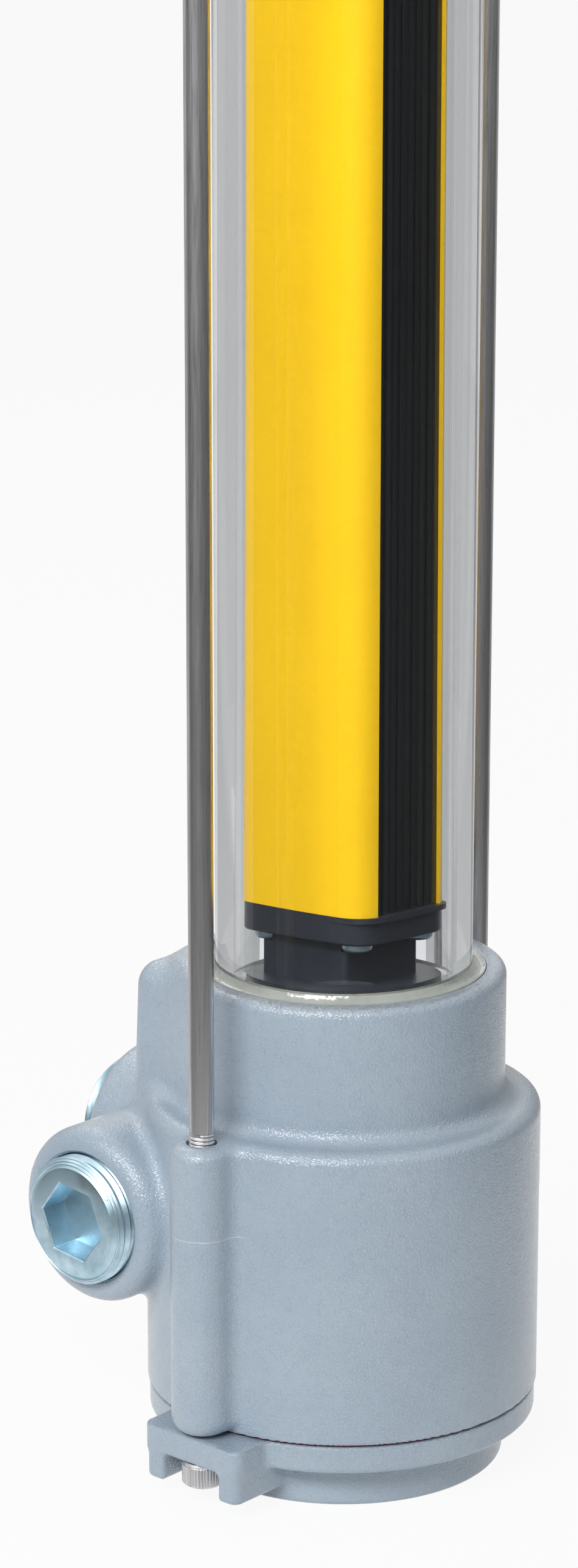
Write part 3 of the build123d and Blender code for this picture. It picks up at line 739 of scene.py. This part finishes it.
def keyCutters(proud, turn):
    # A hexagon with a small lead-in and a pointed floor.
    look = plugLook
    key, lead, floor = look["hexFlats"] / math.sqrt(3), look["lead"], proud - look["hexDepth"]
    inside = key - look["tipGap"]
    mouth = [(0, proud - lead), (key, proud - lead), (key + 2 * lead, proud + lead), (0, proud + lead)]
    tip = [(0, floor - look["tipDepth"]), (inside, floor), (inside, floor + 1), (0, floor + 1)]
    outlines = {"key": rod(key, floor, proud + 2), "keyLead": mouth, "keyTip": tip}
    return [turnedMesh(name, outline, 6, turn) for name, outline in outlines.items()]


def plugBody(name, proud, place, turnDegrees):
    look = plugLook
    inner, rim, core = proud - look["length"], proud - look["chamfer"], look["mouth"] - look["ridge"]
    outline = [(0, inner), (core + inner * look["taper"], inner), (core, rim - look["coreDrop"])]
    outline += [(look["mouth"] + out, rim + up) for out, up in look["mouthRound"]]
    outline += [(look["face"] + out, proud + up) for out, up in look["faceRound"]] + [(0, proud)]
    turn = place @ Matrix.Rotation(math.radians(turnDegrees), 4, "Z")
    return carve(newObject(name, turnedMesh(name, outline, 160, place)), keyCutters(proud, turn))


def taperPlug(name, nodeName, proud, place, turnDegrees):
    look, slotName = plugLook, slotOf[nodeName]
    low = proud - look["length"] + look["ridge"] + look["tailGap"]
    high = proud - look["chamfer"] - look["ridge"] + look["topGap"]
    crest = look["mouth"] - look["ridge"] - look["crestGap"]
    ridge = threadRidge(name + "Thread", slotName, look["pitch"], (high - low) / look["pitch"],
                        crest + low * look["taper"], min(crest, crest + high * look["taper"]), look["ridge"])
    lip = threadRidge(name + "Lip", slotName, look["lipPitch"], look["lipTurns"], look["lipLow"], look["lipHigh"],
                      look["lipRidge"])
    moved(ridge, place @ Matrix.Translation((0, 0, low)))
    moved(lip, place @ Matrix.Translation((0, 0, proud - look["chamfer"] - look["lipDrop"])))
    body = plugBody(name, proud, place, turnDegrees)
    body.data = joinMeshes(name, [body.data, ridge, lip])
    return replace(body, nodeName, 28)


sidePlug = taperPlug("sidePlug", "entry_plug_side", 3.94, sidePlace, -7.15)
taperPlug("rearPlug", "entry_plug_rear", 5.7, rearPlace, 19.0)
print("plugs:", len(sidePlug.data.polygons), "faces each")


# Tie rods

rodLook = {"radius": 2.5, "low": 65.3, "high": 466.0, "pitch": 0.8, "ridge": 0.4, "tip": 0.5, "neck": 2.28,
           "crest": 0.12, "footLow": 75.5, "footTurns": 3.4, "footEnd": 78.67, "footEase": 0.35,
           "topLow": 456.5, "topTurns": 11.0, "topEase": 0.4}


def tieRod(name, nodeName, place):
    look = rodLook
    neck, tip, radius = look["neck"], look["tip"], look["radius"]
    outline = [(0, look["low"]), (neck - tip, look["low"]), (neck, look["low"] + tip),
               (neck, look["footEnd"] - look["footEase"]), (radius, look["footEnd"]),
               (radius, look["topLow"] - look["topEase"]), (neck, look["topLow"]),
               (neck, look["high"] - tip), (neck - tip, look["high"]), (0, look["high"])]
    meshes = [turnedMesh(name, outline, 96, place)]
    crest = radius + look["crest"] - look["ridge"]
    for low, turns in ((look["footLow"], look["footTurns"]), (look["topLow"], look["topTurns"])):
        ridge = threadRidge(name + "Thread", slotOf[nodeName], look["pitch"], turns, crest, crest, look["ridge"], 64)
        meshes.append(moved(ridge, place @ Matrix.Translation((0, 0, low))))
    return replace(newObject(name, joinMeshes(name, meshes)), nodeName, 28)


for name, nodeName, place in zip(("leftRod", "rightRod"), ("tie_rod_left", "tie_rod_right"), rodPlaces()):
    tieRod(name, nodeName, place)
print("rods made")


# Cover screws with knurled heads

screwLook = {"seat": 9.6, "seatEdge": 0.25, "head": 4.05, "headHeight": 5.0, "headRound": 0.5, "shank": 2.5,
             "grip": 14.0, "ridges": 40, "ridge": 0.24, "ridgeLength": 3.7, "key": 4.0, "keyDepth": 2.5}


def knurl(name):
    look = screwLook
    tree = Tree(name, ridges=look["ridges"], ringRadius=mm(look["head"]), ridge=mm(look["ridge"]),
                ridgeLength=mm(look["ridgeLength"]))
    circle = tree.add("GeometryNodeMeshCircle", {"Vertices": tree.input("ridges"), "Radius": tree.input("ringRadius")})
    column = tree.add("GeometryNodeMeshCylinder", {
        "Vertices": 8, "Radius": tree.input("ridge"), "Depth": tree.input("ridgeLength")})
    placed = tree.add("GeometryNodeInstanceOnPoints", {
        "Points": circle.outputs[0], "Instance": column.outputs["Mesh"]})
    tree.finish(placed.outputs[0], finishes["stainless"])
    return tree.run(name)


def coverScrew(place):
    look = screwLook
    head, seat, edge, turn = look["head"], look["seat"], look["seatEdge"], look["headRound"]
    low, tail = seat - look["headHeight"], seat + look["grip"]
    outline = [(0, low), (head - turn, low)] + arc(head - turn, low + turn, turn, -90, 0, 4)
    outline += [(head, seat - edge), (head - edge, seat), (look["shank"], seat), (look["shank"], tail), (0, tail)]
    screw = newObject("screw", turnedMesh("screw", outline, 80, place))
    key = look["key"] / math.sqrt(3)
    carve(screw, [turnedMesh("key", rod(key, low - 1, low + look["keyDepth"]), 6, place)])
    body = screw.data
    bpy.data.objects.remove(screw)
    return [body, moved(knurl("knurl"), place @ Matrix.Translation((0, 0, low + turn + look["ridgeLength"] / 2)))]


def coverScrews():
    meshes = [mesh for place in rodPlaces() for mesh in coverScrew(place)]
    return replace(newObject("coverScrews", joinMeshes("coverScrews", meshes)), "cover_screws", 28)


print("cover screws:", len(coverScrews().data.polygons), "faces")


# Glass tube and potting

tubeLook = {"outer": 26.0, "inner": 21.3, "low": 80.0, "high": 458.0, "rim": 0.4}


def glassTube():
    look = tubeLook
    rim = look["rim"]
    outline = arc(look["outer"] - rim, look["low"] + rim, rim, -90, 0, 3)
    outline += arc(look["outer"] - rim, look["high"] - rim, rim, 0, 90, 3)
    outline += arc(look["inner"] + rim, look["high"] - rim, rim, 90, 180, 3)
    outline += arc(look["inner"] + rim, look["low"] + rim, rim, 180, 270, 3)
    tube = newObject("glassTube", turnedMesh("glassTube", outline, 256, closed=True))
    tube.visible_shadow = False
    return replace(tube, "glass_tube", 60)


pottingLook = {"inner": 26.02, "outer": 28.68, "low": 80.0, "edgeZ": 103.15, "sag": 0.35,
               "glassClimb": 1.3, "glassFade": 5.5, "wallClimb": 0.25, "wallFade": 9.0,
               "density": 18000.0, "pit": 0.11, "smallest": 0.5, "largest": 1.6, "seed": 7}


def meniscus(steps=12):
    # The surface sags between the collar and the glass, and climbs both walls a little.
    look = pottingLook
    points = []
    for i in range(steps + 1):
        share = i / steps
        radius = look["outer"] + (look["inner"] - look["outer"]) * share
        atGlass = look["glassClimb"] * math.exp(-(1 - share) * look["glassFade"])
        atWall = look["wallClimb"] * math.exp(-share * look["wallFade"])
        points.append((radius, look["edgeZ"] - look["sag"] * math.sin(math.pi * share) ** 2 + (atGlass + atWall)))
    return points


def bubbles(name, surface):
    look = pottingLook
    tree = Tree(name, density=look["density"], pit=mm(look["pit"]), seed=look["seed"])
    spread = tree.add("GeometryNodeDistributePointsOnFaces", {
        "Mesh": tree.entry.outputs["Geometry"], "Density": tree.input("density"), "Seed": tree.input("seed")})
    ball = tree.add("GeometryNodeMeshIcoSphere", {"Radius": tree.input("pit"), "Subdivisions": 2})
    scale = tree.add("FunctionNodeRandomValue", {"Seed": tree.input("seed")}, data_type="FLOAT")
    scale.inputs[2].default_value = look["smallest"]
    scale.inputs[3].default_value = look["largest"]
    placed = tree.add("GeometryNodeInstanceOnPoints", {
        "Points": spread.outputs["Points"], "Instance": ball.outputs["Mesh"], "Scale": scale.outputs[1]})
    tree.finish(placed.outputs[0], pitShadeFinish)
    return tree.run(name, surface)


def pottedRing(name, nodeName, outline, surface):
    ring = newObject(name, turnedMesh(name, outline, 192, closed=True))
    ring.data.materials.append(finishes[slotOf[nodeName]])
    pits = newObject(name + "Pits", bubbles(name + "Pits", surface))
    pits.data.materials.clear()
    pits.data.materials.append(pitShadeFinish)
    with bpy.context.temp_override(active_object=ring, selected_editable_objects=[ring, pits]):
        bpy.ops.object.join()
    return replace(ring, nodeName, 50)


def lowerPotting():
    look = pottingLook
    top = meniscus()
    outline = [(look["inner"], look["low"]), (look["outer"], look["low"])] + top
    return pottedRing("lowerPotting", "lower_potting", outline, turnedMesh("pottingTop", top[2:8], 96))


coreLook = {"radius": 21.28, "low": 80.0, "rimZ": 104.1, "rimRound": ((0.0, 0.0), (-0.3, -0.45), (-0.8, -0.75)),
            "disc": 19.1, "discTop": 103.0, "discLow": 102.0, "discRound": ((0.5, -0.05), (0.0, -0.1))}


def corePotting():
    look = coreLook
    outline = [(0, look["low"]), (look["radius"], look["low"])]
    outline += [(look["radius"] + out, look["rimZ"] + up) for out, up in look["rimRound"]]
    outline += [(look["disc"] + out, look["discTop"] + up) for out, up in look["discRound"]]
    outline += [(look["disc"], look["discLow"]), (0, look["discLow"])]
    core = newObject("corePotting", turnedMesh("corePotting", outline, 160))
    core.data.materials.append(coreFinish)
    return replace(core, "core_potting", 40)


glassTube()
print("lower potting:", len(lowerPotting().data.polygons), "faces")
corePotting()


# The pieces that are kept as they come

for name, piece in nodes.items():
    finish = finishes[slotOf[name]]
    if piece.material_slots:
        for entry in piece.material_slots:
            entry.material = finish
    else:
        piece.data.materials.append(finish)
print("finishes set")


# Camera, lights and floor

studio = {
    "eye": (-0.60909, -0.52390, 0.34597), "ahead": (0.72575, 0.64182, -0.24768), "up": (0.18505, 0.16463, 0.96884),
    "lens": 95.47, "sensor": 36, "nearest": 0.01, "farthest": 20,
    "floorSize": 12.0, "floorTone": 0.86, "floorRoughness": 0.7, "floorWhite": 0.92,
    "fill": (0.96, 0.98, 1.0, 1), "fillStrength": 0.25, "coveRoughness": 0.9, "coveLift": 0.002,
}
# Sheets that only metal and glass see: painted reflections, dark in front and pale at the sides.
reflectionSheets = {
    "frontCove": {"from": 122, "to": 340, "near": 0.21, "far": 1.3, "top": 0.5, "tone": 0.12},
    "leftCove": {"from": 52, "to": 122, "near": 0.3, "far": 1.3, "top": 0.7, "tone": 0.88},
    "rightCove": {"from": 340, "to": 390, "near": 0.3, "far": 1.3, "top": 0.7, "tone": 0.97},
}
lamps = {
    "keyLamp": {"place": (-1.08, -0.3, 0.95), "aim": (0, 0, 0.15), "size": (1.1, 0.35), "power": 14.5},
    "sideLamp": {"place": (0.3, -1.1, 0.7), "aim": (0, 0, 0.15), "size": (0.25, 0.9), "power": 0.3},
    "backLamp": {"place": (0.4, 0.9, 1.0), "aim": (0, 0, 0.2), "size": (0.6, 0.6), "power": 2.5},
}


def placeCamera():
    camera = bpy.data.objects.new("camera", bpy.data.cameras.new("camera"))
    camera.data.lens = studio["lens"]
    camera.data.sensor_width = studio["sensor"]
    camera.data.clip_start = studio["nearest"]
    camera.data.clip_end = studio["farthest"]
    ahead = Vector(studio["ahead"]).normalized()
    right = ahead.cross(Vector(studio["up"])).normalized()
    up = right.cross(ahead)
    turn = Matrix((right, up, -ahead)).transposed().to_4x4()
    camera.matrix_world = Matrix.Translation(studio["eye"]) @ turn
    scene.collection.objects.link(camera)
    scene.camera = camera


def areaLamp(name, look):
    lamp = bpy.data.objects.new(name, bpy.data.lights.new(name, "AREA"))
    lamp.data.shape = "RECTANGLE"
    lamp.data.size, lamp.data.size_y = look["size"]
    lamp.data.energy = look["power"]
    lamp.location = look["place"]
    lamp.rotation_euler = (Vector(look["aim"]) - Vector(look["place"])).to_track_quat("-Z", "Y").to_euler()
    scene.collection.objects.link(lamp)


def whiteForCamera(tree, surface, output, share):
    # The camera, metal and glass see a share of plain white, and every other ray sees the surface.
    def maths(operation, first, second):
        node = tree.nodes.new("ShaderNodeMath")
        node.operation = operation
        tree.links.new(first, node.inputs[0])
        if isinstance(second, bpy.types.NodeSocket):
            tree.links.new(second, node.inputs[1])
        else:
            node.inputs[1].default_value = second
        return node.outputs[0]

    path = tree.nodes.new("ShaderNodeLightPath").outputs
    seen = maths("MAXIMUM", path["Is Camera Ray"], path["Is Glossy Ray"])
    seen = maths("MAXIMUM", seen, path["Is Transmission Ray"])
    white = tree.nodes.new("ShaderNodeEmission")
    white.inputs["Strength"].default_value = 1.0
    blend = tree.nodes.new("ShaderNodeMixShader")
    tree.links.new(maths("MULTIPLY", seen, share), blend.inputs[0])
    tree.links.new(surface, blend.inputs[1])
    tree.links.new(white.outputs[0], blend.inputs[2])
    tree.links.new(blend.outputs[0], output)


def plainFinish(name, tone, roughness):
    material = bpy.data.materials.new(name)
    material.use_nodes = True
    surface = material.node_tree.nodes["Principled BSDF"]
    surface.inputs["Base Color"].default_value = (tone, tone, tone, 1)
    surface.inputs["Roughness"].default_value = roughness
    return material


def layFloor():
    bpy.ops.mesh.primitive_plane_add(size=studio["floorSize"])
    floor = bpy.context.object
    floor.name = "studioFloor"
    material = plainFinish("paleFloor", studio["floorTone"], studio["floorRoughness"])
    tree = material.node_tree
    surface = tree.nodes["Principled BSDF"].outputs[0]
    output = tree.nodes["Material Output"].inputs["Surface"]
    whiteForCamera(tree, surface, output, studio["floorWhite"])
    floor.data.materials.append(material)


def layReflectionSheet(name, look, steps=48):
    # A matt sheet beside the view, along the floor and up a wall, which only metal and glass see: a painted reflection
    # that the camera, diffuse and shadow rays pass through.
    points, faces = [], []
    lift = studio["coveLift"]
    for i in range(steps + 1):
        turn = math.radians(look["from"] + (look["to"] - look["from"]) * i / steps)
        for reach, height in ((look["near"], lift), (look["far"], lift), (look["far"], look["top"])):
            points.append((math.cos(turn) * reach, math.sin(turn) * reach, height))
    for i in range(steps):
        for first in (i * 3, i * 3 + 1):
            faces.append((first, first + 3, first + 4, first + 1))
    cove = newObject(name, meshOf(name, points, faces))
    cove.data.materials.append(plainFinish(name, look["tone"], studio["coveRoughness"]))
    cove.visible_camera = False
    cove.visible_diffuse = False
    cove.visible_shadow = False


def lightWorld():
    world = bpy.data.worlds.new("studio")
    scene.world = world
    world.use_nodes = True
    tree = world.node_tree
    fill = tree.nodes["Background"]
    fill.inputs["Color"].default_value = studio["fill"]
    fill.inputs["Strength"].default_value = studio["fillStrength"]
    whiteForCamera(tree, fill.outputs[0], tree.nodes["World Output"].inputs["Surface"], 1.0)


placeCamera()
layFloor()
for name, look in reflectionSheets.items():
    layReflectionSheet(name, look)
lightWorld()
for name, look in lamps.items():
    areaLamp(name, look)
scene.view_settings.view_transform = "Standard"
print("studio set")
